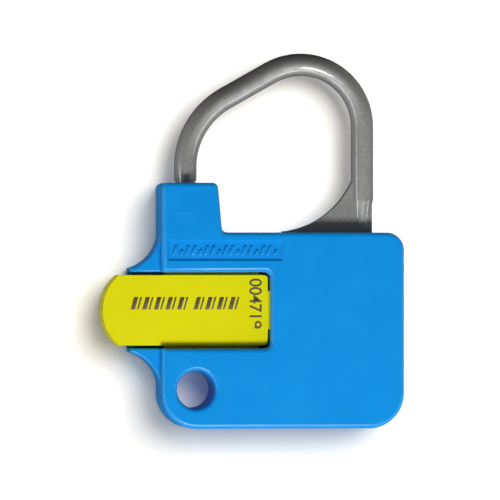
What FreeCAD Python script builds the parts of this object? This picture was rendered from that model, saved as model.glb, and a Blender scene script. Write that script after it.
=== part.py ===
"""Parametric model of a plastic padlock seal: a two-part moulded housing, a steel shackle that slides
straight out of it, a spring-steel catch, and a numbered seal insert that slides in from the left.

Frame: millimetres.  The closed padlock lies on its back: +Z up out of the front face, +Y the way the
shackle slides out, +X to the right.  The origin is the bottom centre of the whole object.
Each body is drawn standing, with the shackle's travel along its own Z and the front face towards its
own -Y, and its Placement lays it on its back.
Every size is a cell of the sheet "sizes", and each piece binds to those cells by expression.
"""

import FreeCAD, Part
import math
import os
import Sketcher
from FreeCAD import Placement, Rotation, Vector

# ---------------------------------------------------------------- driving dimensions (mm, degrees)
SIZES = {
    # housing outline, from the left wall and the bottom
    "housing_width": 48.7,
    "housing_depth": 12.0,
    "column_height": 49.0,
    "column_top_width": 11.2,
    "column_foot_width": 12.1,
    "shoulder_height": 39.1,
    "bottom_corner": 7.0,
    "shoulder_corner": 3.5,
    "column_corner": 1.2,
    "inner_corner": 1.0,
    "front_round": 0.95,
    "back_round": 0.7,
    "tether_bore": 3.8,
    "tether_inset": 6.8,
    "tether_height": 7.8,
    "tether_round": 0.9,
    # seal channel, the window over it in the front cover, and the wings beside its mouth
    "seal_centre": 23.6,
    "window_height": 15.2,
    "window_reach": 21.8,
    "window_corner": 1.2,
    "channel_floor": 4.2,
    "groove_height": 15.9,
    "groove_depth": 1.5,
    "wing_reach": 6.0,
    "wing_front": 2.6,
    "wing_back": 5.2,
    "wing_round": 0.4,
    "wing_arc": 8.0,
    "wing_spread": 15.0,
    "wing_tip_half": 8.35,
    # shallow panel on the front
    "panel_left": 1.4,
    "panel_width": 22.5,
    "panel_bottom": 33.8,
    "panel_height": 3.4,
    "panel_depth": 0.5,
    "panel_slope": 0.4,
    # shackle
    "bar_radius": 2.25,
    "toe_radius": 2.0,
    "toe_place": 5.3,
    "toe_depth": 13.0,
    "toe_nose": 1.0,
    "toe_shoulder": 0.6,
    "toe_step": 0.4,
    "heel_place": 7.7,
    "bend_radius": 15.9,
    "bend_height": 52.1,
    "crown_radius": 12.4,
    "crown_height": 60.3,
    "heel_taper_top": 46.0,
    "heel_taper_foot": 38.0,
    "heel_foot_radius": 1.0,
    "blade_thickness": 2.4,
    "blade_left": 6.3,
    "blade_right": 24.3,
    "blade_bottom": 8.0,
    "web_radius": 17.3,
    "web_foot_height": 39.3,
    "web_top_left": 21.2,
    "web_top_height": 51.7,
    "notch_bottom": 38.8,
    "notch_height": 2.6,
    "notch_depth": 1.0,
    "notch_half_width": 3.0,
    # stop pin in the blade's slot
    "lift_travel": 18.0,
    "pin_place": 15.5,
    "pin_height": 30.0,
    "pin_radius": 1.5,
    "pin_length": 8.8,
    "pin_chamfer": 0.25,
    # seal insert
    "insert_reach": 11.6,
    "insert_height": 14.0,
    "insert_end_arc": 9.2,
    "insert_end_rise": 3.23,
    "insert_face": 3.2,
    "insert_plate": 1.6,
    "insert_gap": 0.3,
    "insert_corner": 0.8,
    "block_right": 0.6,
    "block_back": 3.9,
    "block_wall": 1.3,
    "hollow_shift": 0.5,
    "rail_width": 1.2,
    "rail_back": 0.9,
    "rib_height": 15.6,
    "rib_front": 1.3,
    "rib_back": 0.2,
    "rib_inset": 1.0,
    "bar_reach": 8.9,
    "bar_thickness": 0.8,
    "bar_bottom": 24.6,
    "bar_width": 3.0,
    "tongue_length": 8.0,
    "tongue_width": 7.6,
    "tongue_lead": 1.0,
    "tongue_notch_width": 2.4,
    "tongue_notch_depth": 0.8,
    "tongue_notch_place": 4.2,
    # catch leaf and its rivet
    "leaf_width": 3.0,
    "leaf_thickness": 0.35,
    "leaf_front": 2.65,
    "leaf_bottom": 25.0,
    "leaf_top": 46.6,
    "leaf_seat_bottom": 42.6,
    "tooth_reach": 1.3,
    "tooth_bottom": 39.4,
    "tooth_land": 0.4,
    "tooth_top": 41.2,
    "rivet_height": 44.6,
    "rivet_radius": 0.6,
    "rivet_head_radius": 1.1,
    "rivet_head": 0.3,
    "rivet_length": 1.6,
    # retainer clip for the insert's tongue
    "clip_thickness": 0.4,
    "clip_width": 1.5,
    "clip_back": 1.7,
    "clip_length": 9.6,
    "clip_gap": 0.15,
    "clip_tooth": 0.75,
    "clip_tooth_half": 0.9,
    "clip_flare": 0.5,
    "nest_front": 3.5,
    "nest_height": 11.0,
    "nest_length": 10.6,
    # fits and moulding details
    "slide_gap": 0.2,
    "overlap": 1.0,
    "bore_spare": 0.5,
    "slot_spare": 0.3,
    "socket_gap": 0.1,
    "socket_spare": 0.2,
    "rivet_gap": 0.05,
    "wall": 2.3,
    "core_width": 3.6,
    "core_web": 1.4,
    "core_inset": 2.0,
    "peg_radius": 1.1,
    "peg_length": 2.2,
    "peg_edge": 2.5,
    "peg_shoulder": 5.6,
    "peg_corner": 9.5,
    "column_peg_in": 1.9,
    "column_peg_down": 4.0,
    "base_peg_out": 1.6,
    "base_peg_height": 5.0,
    "shelf_peg_in": 0.8,
    "shelf_peg_down": 3.9,
}
NEAR = 0.01  # closer than this, in mm or mm3, counts as the same
JUST_OVER = 1.0001  # keeps a full half circle's radius above half its chord


class Length:
    """A number that keeps the sheet expression it was worked out from."""

    def __init__(self, value, text):
        self.value = value
        self.text = text

    @staticmethod
    def of(item):
        """A plain number becomes a Length; a Length stays as it is."""
        return item if isinstance(item, Length) else Length(float(item), repr(float(item)))

    def __add__(self, other):
        other = Length.of(other)
        return Length(self.value + other.value, f"({self.text} + {other.text})")

    def __sub__(self, other):
        other = Length.of(other)
        return Length(self.value - other.value, f"({self.text} - {other.text})")

    def __mul__(self, factor):
        return Length(self.value * factor, f"({self.text} * {float(factor)!r})")

    def __truediv__(self, divisor):
        return Length(self.value / divisor, f"({self.text} / {float(divisor)!r})")

    def __neg__(self):
        return self * -1.0


class Sizes:
    """The spreadsheet of driving dimensions; each attribute is one cell as a Length."""

    def __init__(self, doc):
        sheet = doc.addObject("Spreadsheet::Sheet", "sizes")
        for row, (name, value) in enumerate(SIZES.items(), start=1):
            sheet.set(f"A{row}", name)
            sheet.set(f"B{row}", str(value))
            sheet.setAlias(f"B{row}", name)
        doc.recompute()
        for name in SIZES:
            setattr(self, name, Length(float(sheet.get(name)), f"sizes.{name}"))


class Places:
    """Positions that several pieces share, worked out from the sheet."""

    def __init__(self, d):
        self.right = (d.housing_width + d.insert_reach) / 2
        self.left = self.right - d.housing_width
        self.half_depth = d.housing_depth / 2
        self.column_right = self.left + d.column_top_width
        self.column_foot = self.left + d.column_foot_width
        self.tether_x = self.left + d.tether_inset
        self.window_right = self.left + d.window_reach
        self.window_top = d.seal_centre + d.window_height / 2
        self.window_bottom = d.seal_centre - d.window_height / 2
        self.wing_left = self.left - d.wing_reach
        self.toe_x = self.left + d.toe_place
        self.toe_tip = d.column_height - d.toe_depth
        self.bar_start = d.column_height + d.toe_shoulder
        self.heel_x = self.right - d.heel_place
        self.insert_left = -self.right
        self.insert_right = self.window_right - d.insert_gap
        self.leaf_back = d.leaf_front + d.leaf_thickness
        self.overall_height = d.crown_height + d.crown_radius + d.bar_radius


# ---------------------------------------------------------------- helpers for bodies and sketches
def bind(item, prop, length):
    """Ties one property of an object to the sheet."""
    item.setExpression(prop, Length.of(length).text)


def new_body(doc, label):
    body = doc.addObject("PartDesign::Body", label)
    body.Label = label
    return body


def new_sketch(body, plane, name, offset=0.0):
    """A sketch on one of the body's own origin planes, moved along the plane's normal by offset.
    The normal of XZ_Plane is -Y, that of XY_Plane +Z and that of YZ_Plane +X."""
    sketch = body.newObject("Sketcher::SketchObject", name)
    datum = [feature for feature in body.Origin.OriginFeatures if feature.Role == plane][0]
    sketch.AttachmentSupport = [(datum, "")]
    sketch.MapMode = "FlatFace"
    sketch.AttachmentOffset = Placement(Vector(0, 0, Length.of(offset).value), Rotation())
    bind(sketch, ".AttachmentOffset.Base.z", offset)
    return sketch


def add_distance(sketch, kind, geometry, end, length):
    """Holds one end of a sketch element at a bound distance from the sketch's origin."""
    length = Length.of(length)
    index = sketch.addConstraint(Sketcher.Constraint(kind, -1, 1, geometry, end, length.value))
    sketch.setExpression(f"Constraints[{index}]", length.text)


def add_radius(sketch, geometry, radius):
    index = sketch.addConstraint(Sketcher.Constraint("Radius", geometry, radius.value))
    sketch.setExpression(f"Constraints[{index}]", radius.text)


def turning_arc(start, end, radius, bulge):
    """The short arc between two points, always drawn anticlockwise.  It bows out to the right of the
    way from start to end for bulge +1, to the left for -1."""
    first, last = (start, end) if bulge > 0 else (end, start)
    chord = last - first
    side = Vector(chord.y, -chord.x, 0).normalize()
    centre = (first + last) * 0.5 - side * math.sqrt(radius**2 - (chord.Length / 2) ** 2)
    begin = math.atan2(first.y - centre.y, first.x - centre.x)
    finish = math.atan2(last.y - centre.y, last.x - centre.x)
    if finish < begin:
        finish += 2 * math.pi
    return Part.ArcOfCircle(Part.Circle(centre, Vector(0, 0, 1), radius), begin, finish)


def add_outline(sketch, corners, arcs=None):
    """A closed outline through corners (u, v).  arcs[i] = (radius, bulge) makes the stretch after
    corner i an arc."""
    arcs = arcs or {}
    points = [Vector(Length.of(u).value, Length.of(v).value, 0) for u, v in corners]
    count = len(points)
    first = sketch.GeometryCount
    ends = []
    for i, start in enumerate(points):
        end = points[(i + 1) % count]
        if i in arcs:
            radius, bulge = arcs[i]
            sketch.addGeometry(turning_arc(start, end, radius.value, bulge), False)
            ends.append((1, 2) if bulge > 0 else (2, 1))
        else:
            sketch.addGeometry(Part.LineSegment(start, end), False)
            ends.append((1, 2))
    for i, (u, v) in enumerate(corners):
        before = (i - 1) % count
        joint = Sketcher.Constraint("Coincident", first + before, ends[before][1], first + i, ends[i][0])
        sketch.addConstraint(joint)
        add_distance(sketch, "DistanceX", first + i, ends[i][0], u)
        add_distance(sketch, "DistanceY", first + i, ends[i][0], v)
    for i, (radius, _) in arcs.items():
        add_radius(sketch, first + i, radius)


def add_box(sketch, left, right, low, high):
    add_outline(sketch, [(left, low), (right, low), (right, high), (left, high)])


def add_circle(sketch, u, v, radius):
    u, v, radius = Length.of(u), Length.of(v), Length.of(radius)
    circle = Part.Circle(Vector(u.value, v.value, 0), Vector(0, 0, 1), radius.value)
    geometry = sketch.addGeometry(circle, False)
    add_distance(sketch, "DistanceX", geometry, 3, u)
    add_distance(sketch, "DistanceY", geometry, 3, v)
    add_radius(sketch, geometry, radius)


def must_change(body, name, before):
    """Stops the build where a feature broke the solid or left its volume as it was."""
    body.Document.recompute()
    if abs(body.Shape.Volume - before) < NEAR:
        raise RuntimeError(f"{body.Label}: {name} changed nothing")
    if not body.Shape.isValid():
        raise RuntimeError(f"{body.Label}: {name} left an invalid solid")


def extrude(body, kind, sketch, name, length, back=False, both=False):
    """A Pad or Pocket of the sketch.  A Pad goes along the sketch's normal and a Pocket against it;
    back turns either round, and both spreads it evenly to the two sides."""
    before = body.Shape.Volume if body.Tip else 0.0
    feature = body.newObject(f"PartDesign::{kind}", name)
    feature.Profile = sketch
    feature.SideType = "Symmetric" if both else "One side"
    feature.Reversed = back
    feature.Length = Length.of(length).value
    bind(feature, "Length", length)
    must_change(body, name, before)
    return feature


def pad(body, sketch, name, length, **way):
    return extrude(body, "Pad", sketch, name, length, **way)


def pocket(body, sketch, name, length, **way):
    return extrude(body, "Pocket", sketch, name, length, **way)


def round_edges(body, name, radius, chosen, kind="Fillet"):
    """Fillets (or chamfers) the edges of the body's tip that chosen(edge) picks."""
    base = body.Tip
    before = body.Shape.Volume
    names = [f"Edge{i}" for i, edge in enumerate(base.Shape.Edges, start=1) if chosen(edge)]
    feature = body.newObject(f"PartDesign::{kind}", name)
    feature.Base = (base, names)
    prop = "Radius" if kind == "Fillet" else "Size"
    setattr(feature, prop, radius.value)
    bind(feature, prop, radius)
    must_change(body, name, before)


def at_depth(depth, left_of=None, near=None, inside=None):
    """Picks edges in the plane y = depth: all of them, those left of a place, those inside a box
    (left, right, low, high), or one ring and, with False, all but that ring."""
    depth = Length.of(depth).value

    def chosen(edge):
        box = edge.BoundBox
        if max(abs(box.YMin - depth), abs(box.YMax - depth)) > NEAR:
            return False
        if left_of is not None and box.XMin > left_of.value - NEAR:
            return False
        if inside is not None:
            left, right, low, high = (place.value for place in inside)
            across = left - NEAR < box.XMin and box.XMax < right + NEAR
            return across and low - NEAR < box.ZMin and box.ZMax < high + NEAR
        if near is None:
            return True
        x, z, radius, wanted = near
        far = math.hypot(box.Center.x - x.value, box.Center.z - z.value) + box.DiagonalLength / 2
        return (far < 2 * radius.value) == wanted

    return chosen


def along_depth(*places):
    """Picks edges that run along Y at any of the given (x, z) places."""
    spots = [(Length.of(x).value, Length.of(z).value) for x, z in places]

    def chosen(edge):
        box = edge.BoundBox
        if box.XLength > NEAR or box.ZLength > NEAR:
            return False
        return any(math.hypot(box.XMin - x, box.ZMin - z) < NEAR for x, z in spots)

    return chosen


# ---------------------------------------------------------------- housing
def add_cover(body, d, p, back):
    """The slab both covers share, with its corner radii, filling one half of the depth."""
    outline = new_sketch(body, "XZ_Plane", "cover_outline")
    corners = [
        (p.left, 0),
        (p.right, 0),
        (p.right, d.shoulder_height),
        (p.column_foot, d.shoulder_height),
        (p.column_right, d.column_height),
        (p.left, d.column_height),
    ]
    add_outline(outline, corners)
    pad(body, outline, "cover", p.half_depth, back=back)
    round_edges(body, "bottom_corners", d.bottom_corner, along_depth(corners[0], corners[1]))
    round_edges(body, "shoulder_corner", d.shoulder_corner, along_depth(corners[2]))
    round_edges(body, "inner_corner", d.inner_corner, along_depth(corners[3]))
    round_edges(body, "column_corners", d.column_corner, along_depth(corners[4], corners[5]))


def add_wings(body, d, p, thickness, back):
    """The flared tray left of the housing; its two sides are arcs that run out in the wall.  They meet
    it at a slight angle, because an exact tangent leaves the solid broken."""
    root = p.left + d.overlap
    outline = new_sketch(body, "XZ_Plane", "wing_outline")
    add_outline(
        outline,
        [
            (root, d.seal_centre + d.wing_spread),
            (p.left, d.seal_centre + d.wing_spread),
            (p.wing_left, d.seal_centre + d.wing_tip_half),
            (p.wing_left, d.seal_centre - d.wing_tip_half),
            (p.left, d.seal_centre - d.wing_spread),
            (root, d.seal_centre - d.wing_spread),
        ],
        {1: (d.wing_arc, -1), 3: (d.wing_arc, -1)},
    )
    pad(body, outline, "wings", thickness, back=back)


def cut_channel(body, d, p, name, height, depth, back):
    """The seal's channel: a straight cut from the wings' mouth to the window's right end."""
    outline = new_sketch(body, "XZ_Plane", f"{name}_outline")
    half = height / 2
    add_box(outline, p.wing_left - d.overlap, p.window_right, d.seal_centre - half, d.seal_centre + half)
    pocket(body, outline, name, depth, back=back)


def cut_tether_hole(body, d, p, back):
    outline = new_sketch(body, "XZ_Plane", "tether_outline")
    add_circle(outline, p.tether_x, d.tether_height, d.tether_bore)
    pocket(body, outline, "tether_hole", d.housing_depth, back=back)


def round_face(body, d, p, face, wing_face, radius):
    """The moulded radii around the outer face, the tether hole's rim and the wings."""
    hole = (p.tether_x, d.tether_height, d.tether_bore)
    round_edges(body, "face_round", radius, at_depth(face, near=(*hole, False)))
    round_edges(body, "rim_round", d.tether_round, at_depth(face, near=(*hole, True)))
    round_edges(body, "wing_round", d.wing_round, at_depth(wing_face, left_of=p.left))


def cut_guides(body, d, p):
    """Half of the toe's bore and of the blade's slot, both open at the top."""
    bore = new_sketch(body, "XY_Plane", "toe_bore_outline", d.column_height)
    add_circle(bore, p.toe_x, 0, d.toe_radius + d.slide_gap)
    pocket(body, bore, "toe_bore", d.toe_depth + d.bore_spare)
    slot = new_sketch(body, "XY_Plane", "blade_slot_outline", d.shoulder_height)
    reach = d.blade_thickness / 2 + d.slide_gap
    add_box(slot, d.blade_left - d.slide_gap, d.blade_right + d.slide_gap, -reach, reach)
    pocket(body, slot, "blade_slot", d.shoulder_height - d.blade_bottom + d.slot_spare)


def cut_pin_bore(body, d, back):
    outline = new_sketch(body, "XZ_Plane", "pin_bore_outline")
    add_circle(outline, d.pin_place, d.pin_height, d.pin_radius)
    pocket(body, outline, "pin_bore", d.pin_length / 2, back=back)


def cut_cores(body, d, p, back):
    """A row of coring pockets below the channel that keeps the moulding's walls even."""
    outline = new_sketch(body, "XZ_Plane", "core_outline")
    pitch = d.core_width + d.core_web
    for i in range(2):
        left = p.tether_x + d.tether_bore + d.core_inset + pitch * i
        add_box(outline, left, left + d.core_width, d.wall, p.window_bottom - d.wall)
    pocket(body, outline, "cores", p.half_depth - d.wall, back=back)


def peg_places(d, p):
    """Where the front cover's moulded pegs meet the back cover's sockets."""
    return [
        (p.right - d.peg_edge, d.shoulder_height - d.peg_shoulder),
        (p.right - d.peg_edge, d.peg_corner),
        (p.column_right - d.column_peg_in, d.column_height - d.column_peg_down),
        (p.window_right + d.base_peg_out, d.base_peg_height),
        (p.window_right - d.shelf_peg_in, d.shoulder_height - d.shelf_peg_down),
    ]


def cut_panel(body, d, p):
    """The shallow panel on the front, with sloping sides."""
    outline = new_sketch(body, "XZ_Plane", "panel_outline", p.half_depth - d.panel_depth)
    left, low = p.left + d.panel_left, d.panel_bottom
    right, high = left + d.panel_width, low + d.panel_height
    add_box(outline, left, right, low, high)
    pocket(body, outline, "panel", d.panel_depth * 2, back=True)
    rim = at_depth(-p.half_depth, inside=(left, right, low, high))
    round_edges(body, "panel_slope", d.panel_slope, rim, kind="Chamfer")


def front_cover(doc, d, p):
    body = new_body(doc, "front_cover")
    add_cover(body, d, p, back=False)
    add_wings(body, d, p, d.wing_front, back=False)
    cut_channel(body, d, p, "window", d.window_height, d.housing_depth, back=True)
    corners = along_depth((p.window_right, p.window_top), (p.window_right, p.window_bottom))
    round_edges(body, "window_corners", d.window_corner, corners)
    cut_tether_hole(body, d, p, back=True)
    round_face(body, d, p, -p.half_depth, -d.wing_front, d.front_round)
    cut_panel(body, d, p)
    cut_channel(body, d, p, "rib_grooves", d.groove_height, d.groove_depth, back=True)
    cut_guides(body, d, p)
    nest = new_sketch(body, "XZ_Plane", "clip_nest_outline")
    half = d.nest_height / 2
    nest_right = p.window_right + d.nest_length
    add_box(nest, p.window_right - d.overlap, nest_right, d.seal_centre - half, d.seal_centre + half)
    pocket(body, nest, "clip_nest", d.nest_front, back=True)
    cut_pin_bore(body, d, back=True)
    cut_cores(body, d, p, back=True)
    pegs = new_sketch(body, "XZ_Plane", "peg_outline", d.overlap)
    for x, z in peg_places(d, p):
        add_circle(pegs, x, z, d.peg_radius)
    pad(body, pegs, "pegs", d.peg_length + d.overlap, back=True)
    return body


def back_cover(doc, d, p):
    body = new_body(doc, "back_cover")
    add_cover(body, d, p, back=True)
    add_wings(body, d, p, d.wing_back, back=True)
    cut_tether_hole(body, d, p, back=False)
    round_face(body, d, p, p.half_depth, d.wing_back, d.back_round)
    cut_channel(body, d, p, "channel", d.window_height, d.channel_floor, back=False)
    cut_guides(body, d, p)
    cut_leaf_slot(body, d, p)
    cut_pin_bore(body, d, back=False)
    cut_cores(body, d, p, back=False)
    sockets = new_sketch(body, "XZ_Plane", "socket_outline")
    for x, z in peg_places(d, p):
        add_circle(sockets, x, z, d.peg_radius + d.socket_gap)
    pocket(body, sockets, "sockets", d.peg_length + d.socket_spare)
    return body


def cut_leaf_slot(body, d, p):
    """The catch leaf's slot: a seat for its riveted end, and below it room for it to flex back."""
    half = d.leaf_width / 2 + d.slide_gap
    seat = new_sketch(body, "XZ_Plane", "leaf_seat_outline")
    add_box(seat, p.toe_x - half, p.toe_x + half, d.leaf_seat_bottom, d.leaf_top + d.slide_gap)
    pocket(body, seat, "leaf_seat", p.leaf_back)
    room = new_sketch(body, "XZ_Plane", "leaf_room_outline")
    add_box(room, p.toe_x - half, p.toe_x + half, p.window_top - d.overlap, d.leaf_seat_bottom)
    pocket(body, room, "leaf_room", d.channel_floor)
    bore = new_sketch(body, "XZ_Plane", "rivet_bore_outline")
    add_circle(bore, p.toe_x, d.rivet_height, d.rivet_radius)
    pocket(body, bore, "rivet_bore", d.leaf_front + d.rivet_length)


# ---------------------------------------------------------------- shackle and its stop pin
def add_bar_path(sketch, d, p):
    """The bar's centre line: toe leg, bend, straight rise, crown and heel leg, each tangent to the
    next.  The rise is the common tangent of the bend's and the crown's circles."""
    bend = Vector((p.toe_x + d.bend_radius).value, d.bend_height.value, 0)
    crown = Vector((p.heel_x - d.crown_radius).value, d.crown_height.value, 0)
    between = crown - bend
    across = math.acos((d.bend_radius - d.crown_radius).value / between.Length)
    outward = math.atan2(between.y, between.x) + across
    bend_circle = Part.Circle(bend, Vector(0, 0, 1), d.bend_radius.value)
    crown_circle = Part.Circle(crown, Vector(0, 0, 1), d.crown_radius.value)
    bend_arc = Part.ArcOfCircle(bend_circle, outward, math.pi)
    crown_arc = Part.ArcOfCircle(crown_circle, 0, outward)
    toe_start = Vector(p.toe_x.value, p.bar_start.value, 0)
    heel_end = Vector(p.heel_x.value, d.heel_taper_top.value, 0)
    pieces = [
        Part.LineSegment(toe_start, bend_arc.EndPoint),
        bend_arc,
        Part.LineSegment(bend_arc.StartPoint, crown_arc.EndPoint),
        crown_arc,
        Part.LineSegment(crown_arc.StartPoint, heel_end),
    ]
    sketch.addGeometry(pieces, False)
    toe, bend_id, rise, crown_id, heel = range(5)
    meets = [(toe, 2, bend_id, 2), (bend_id, 1, rise, 1), (rise, 2, crown_id, 2), (crown_id, 1, heel, 1)]
    for meet in meets:
        sketch.addConstraint(Sketcher.Constraint("Tangent", *meet))
    sketch.addConstraint(Sketcher.Constraint("Vertical", toe))
    sketch.addConstraint(Sketcher.Constraint("Vertical", heel))
    add_radius(sketch, bend_id, d.bend_radius)
    add_radius(sketch, crown_id, d.crown_radius)
    add_distance(sketch, "DistanceX", toe, 1, p.toe_x)
    add_distance(sketch, "DistanceY", toe, 1, p.bar_start)
    add_distance(sketch, "DistanceY", bend_id, 3, d.bend_height)
    add_distance(sketch, "DistanceY", crown_id, 3, d.crown_height)
    add_distance(sketch, "DistanceX", heel, 2, p.heel_x)
    add_distance(sketch, "DistanceY", heel, 2, d.heel_taper_top)


def add_toe(body, d, p):
    """The turned-down toe: a chamfered nose, the plug, and a short shoulder up to the bar."""
    profile = new_sketch(body, "XZ_Plane", "toe_profile")
    plug = p.toe_x + d.toe_radius
    add_outline(
        profile,
        [
            (p.toe_x, p.toe_tip),
            (plug - d.toe_nose, p.toe_tip),
            (plug, p.toe_tip + d.toe_nose),
            (plug, p.bar_start - d.toe_step),
            (p.toe_x + d.bar_radius, p.bar_start),
            (p.toe_x, p.bar_start),
        ],
    )
    profile.addGeometry(
        Part.LineSegment(
            Vector(p.toe_x.value, p.toe_tip.value, 0), Vector(p.toe_x.value, p.bar_start.value, 0)
        ),
        True,
    )
    axis = profile.GeometryCount - 1
    profile.addConstraint(Sketcher.Constraint("Coincident", axis, 1, 0, 1))
    profile.addConstraint(Sketcher.Constraint("Coincident", axis, 2, 5, 1))
    before = body.Shape.Volume
    turned = body.newObject("PartDesign::Revolution", "toe")
    turned.Profile = profile
    turned.ReferenceAxis = (profile, ["Axis0"])
    turned.Angle = 360
    must_change(body, "toe", before)
    notch = new_sketch(body, "XZ_Plane", "notch_outline", d.notch_depth - d.toe_radius)
    half = d.notch_half_width
    add_box(notch, p.toe_x - half, p.toe_x + half, d.notch_bottom, d.notch_bottom + d.notch_height)
    pocket(body, notch, "notch", d.notch_depth * 2)


def add_heel(body, d, p):
    """The heel: the round bar tapers into a flat blade that fills the housing's slot."""
    before = body.Shape.Volume
    taper = body.newObject("PartDesign::AdditiveCone", "heel_taper")
    taper.Placement = Placement(Vector(p.heel_x.value, 0, d.heel_taper_foot.value), Rotation())
    bind(taper, ".Placement.Base.x", p.heel_x)
    bind(taper, ".Placement.Base.z", d.heel_taper_foot)
    bind(taper, "Radius1", d.heel_foot_radius)
    bind(taper, "Radius2", d.bar_radius)
    bind(taper, "Height", d.heel_taper_top - d.heel_taper_foot)
    must_change(body, "heel_taper", before)
    outline = new_sketch(body, "XZ_Plane", "blade_outline")
    add_outline(
        outline,
        [
            (d.blade_left, d.blade_bottom),
            (d.blade_right, d.blade_bottom),
            (d.blade_right, d.web_top_height),
            (d.web_top_left, d.web_top_height),
            (d.blade_left, d.web_foot_height),
        ],
        {3: (d.web_radius, -1)},
    )
    pad(body, outline, "blade", d.blade_thickness, both=True)
    slot = new_sketch(body, "XZ_Plane", "slot_outline")
    half = d.pin_radius + d.slide_gap
    low = d.pin_height - d.lift_travel - d.slide_gap * 2
    add_outline(
        slot,
        [
            (d.pin_place - half, low),
            (d.pin_place + half, low),
            (d.pin_place + half, d.pin_height),
            (d.pin_place - half, d.pin_height),
        ],
        {0: (half * JUST_OVER, 1), 2: (half * JUST_OVER, 1)},
    )
    pocket(body, slot, "slot", d.blade_thickness * 2, both=True)


def shackle(doc, d, p):
    body = new_body(doc, "shackle")
    path = new_sketch(body, "XZ_Plane", "bar_path")
    add_bar_path(path, d, p)
    section = new_sketch(body, "XY_Plane", "bar_section", p.bar_start)
    add_circle(section, p.toe_x, 0, d.bar_radius)
    doc.recompute()
    bar = body.newObject("PartDesign::AdditivePipe", "bar")
    bar.Profile = section
    bar.Spine = path
    doc.recompute()
    add_toe(body, d, p)
    add_heel(body, d, p)
    return body


def stop_pin(doc, d, p):
    """A plain pin pressed into both covers; it stands in the blade's slot and stops the lift."""
    body = new_body(doc, "stop_pin")
    outline = new_sketch(body, "XZ_Plane", "pin_outline")
    add_circle(outline, d.pin_place, d.pin_height, d.pin_radius)
    pad(body, outline, "pin", d.pin_length, both=True)
    round_edges(body, "pin_ends", d.pin_chamfer, at_depth(-d.pin_length / 2), kind="Chamfer")
    round_edges(body, "pin_ends_back", d.pin_chamfer, at_depth(d.pin_length / 2), kind="Chamfer")
    return body


# ---------------------------------------------------------------- seal insert
def add_insert_outline(sketch, d, p, right):
    """The insert's plan: straight edges closed by a round end on the left."""
    half = d.insert_height / 2
    shoulder = p.insert_left + d.insert_end_rise
    add_outline(
        sketch,
        [
            (shoulder, d.seal_centre - half),
            (right, d.seal_centre - half),
            (right, d.seal_centre + half),
            (shoulder, d.seal_centre + half),
        ],
        {3: (d.insert_end_arc, 1)},
    )


def seal_insert(doc, d, p):
    body = new_body(doc, "seal_insert")
    plate = new_sketch(body, "XZ_Plane", "plate_outline", d.insert_face - d.insert_plate)
    add_insert_outline(plate, d, p, p.insert_right)
    pad(body, plate, "plate", d.insert_plate)
    half = d.insert_height / 2
    top, bottom = d.seal_centre + half, d.seal_centre - half
    end_corners = along_depth((p.insert_right, top), (p.insert_right, bottom))
    round_edges(body, "plate_corners", d.insert_corner, end_corners)
    add_thumb_block(body, d, p)
    add_rails(body, d, p, top, bottom)
    bar = new_sketch(body, "XZ_Plane", "lock_bar_outline", -d.block_back)
    bar_left = p.left - d.block_right - d.block_wall
    add_box(bar, bar_left, p.left + d.bar_reach, d.bar_bottom, d.bar_bottom + d.bar_width)
    pad(body, bar, "lock_bar", d.bar_thickness)
    add_tongue(body, d, p)
    return body


def add_thumb_block(body, d, p):
    """The hollow block behind the plate's free end, gripped to pull the insert out, with a web across
    its hollow."""
    depth = d.block_back + d.insert_face - d.insert_plate
    block = new_sketch(body, "XZ_Plane", "block_outline", -d.block_back)
    block_right = p.left - d.block_right
    add_insert_outline(block, d, p, block_right)
    pad(body, block, "thumb_block", depth)
    hollow = new_sketch(body, "XZ_Plane", "hollow_outline", -d.block_back)
    half = d.insert_height / 2 - d.block_wall
    shoulder = p.insert_left + d.insert_end_rise + d.hollow_shift
    add_outline(
        hollow,
        [
            (shoulder, d.seal_centre - half),
            (block_right - d.block_wall, d.seal_centre - half),
            (block_right - d.block_wall, d.seal_centre + half),
            (shoulder, d.seal_centre + half),
        ],
        {3: (d.insert_end_arc - d.block_wall, 1)},
    )
    pocket(body, hollow, "hollow", depth, back=True)
    web = new_sketch(body, "XZ_Plane", "block_web_outline", -d.block_back)
    half = d.block_wall / 2
    web_left, web_right = p.insert_left + half, block_right - half
    add_box(web, web_left, web_right, d.seal_centre - half, d.seal_centre + half)
    pad(body, web, "block_web", depth)


def add_rails(body, d, p, top, bottom):
    """Edge rails behind the plate, and on them the ribs that run in the front cover's grooves."""
    left = p.left - d.block_right - d.block_wall / 2
    rails = new_sketch(body, "XZ_Plane", "rail_outline", -d.rail_back)
    add_box(rails, left, p.insert_right - d.insert_corner, top - d.rail_width, top)
    add_box(rails, left, p.insert_right - d.insert_corner, bottom, bottom + d.rail_width)
    pad(body, rails, "rails", d.rail_back + d.insert_face - d.insert_plate)
    ribs = new_sketch(body, "XZ_Plane", "rib_outline", d.rib_back)
    half = d.rib_height / 2
    rib_right = p.insert_right - d.insert_corner * 2
    add_box(ribs, p.left + d.rib_inset, rib_right, top - d.rail_width / 2, d.seal_centre + half)
    add_box(ribs, p.left + d.rib_inset, rib_right, d.seal_centre - half, bottom + d.rail_width / 2)
    pad(body, ribs, "ribs", d.rib_front - d.rib_back)


def add_tongue(body, d, p):
    """The tongue under the cover, notched on both edges for the retainer clip."""
    half = d.tongue_width / 2
    inner = half - d.tongue_notch_depth
    tip = p.insert_right + d.tongue_length
    notch_left = p.insert_right + d.tongue_notch_place - d.tongue_notch_width / 2
    notch_right = notch_left + d.tongue_notch_width
    lead = d.tongue_lead
    upper = [
        (tip, half - lead),
        (tip - lead, half),
        (notch_right, half),
        (notch_right, inner),
        (notch_left, inner),
        (notch_left, half),
        (p.insert_right - d.overlap, half),
    ]
    corners = [(x, d.seal_centre + z) for x, z in upper]
    corners += [(x, d.seal_centre - z) for x, z in reversed(upper)]
    tongue = new_sketch(body, "XZ_Plane", "tongue_outline", d.insert_face - d.insert_plate)
    add_outline(tongue, corners)
    pad(body, tongue, "tongue", d.insert_plate)


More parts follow.
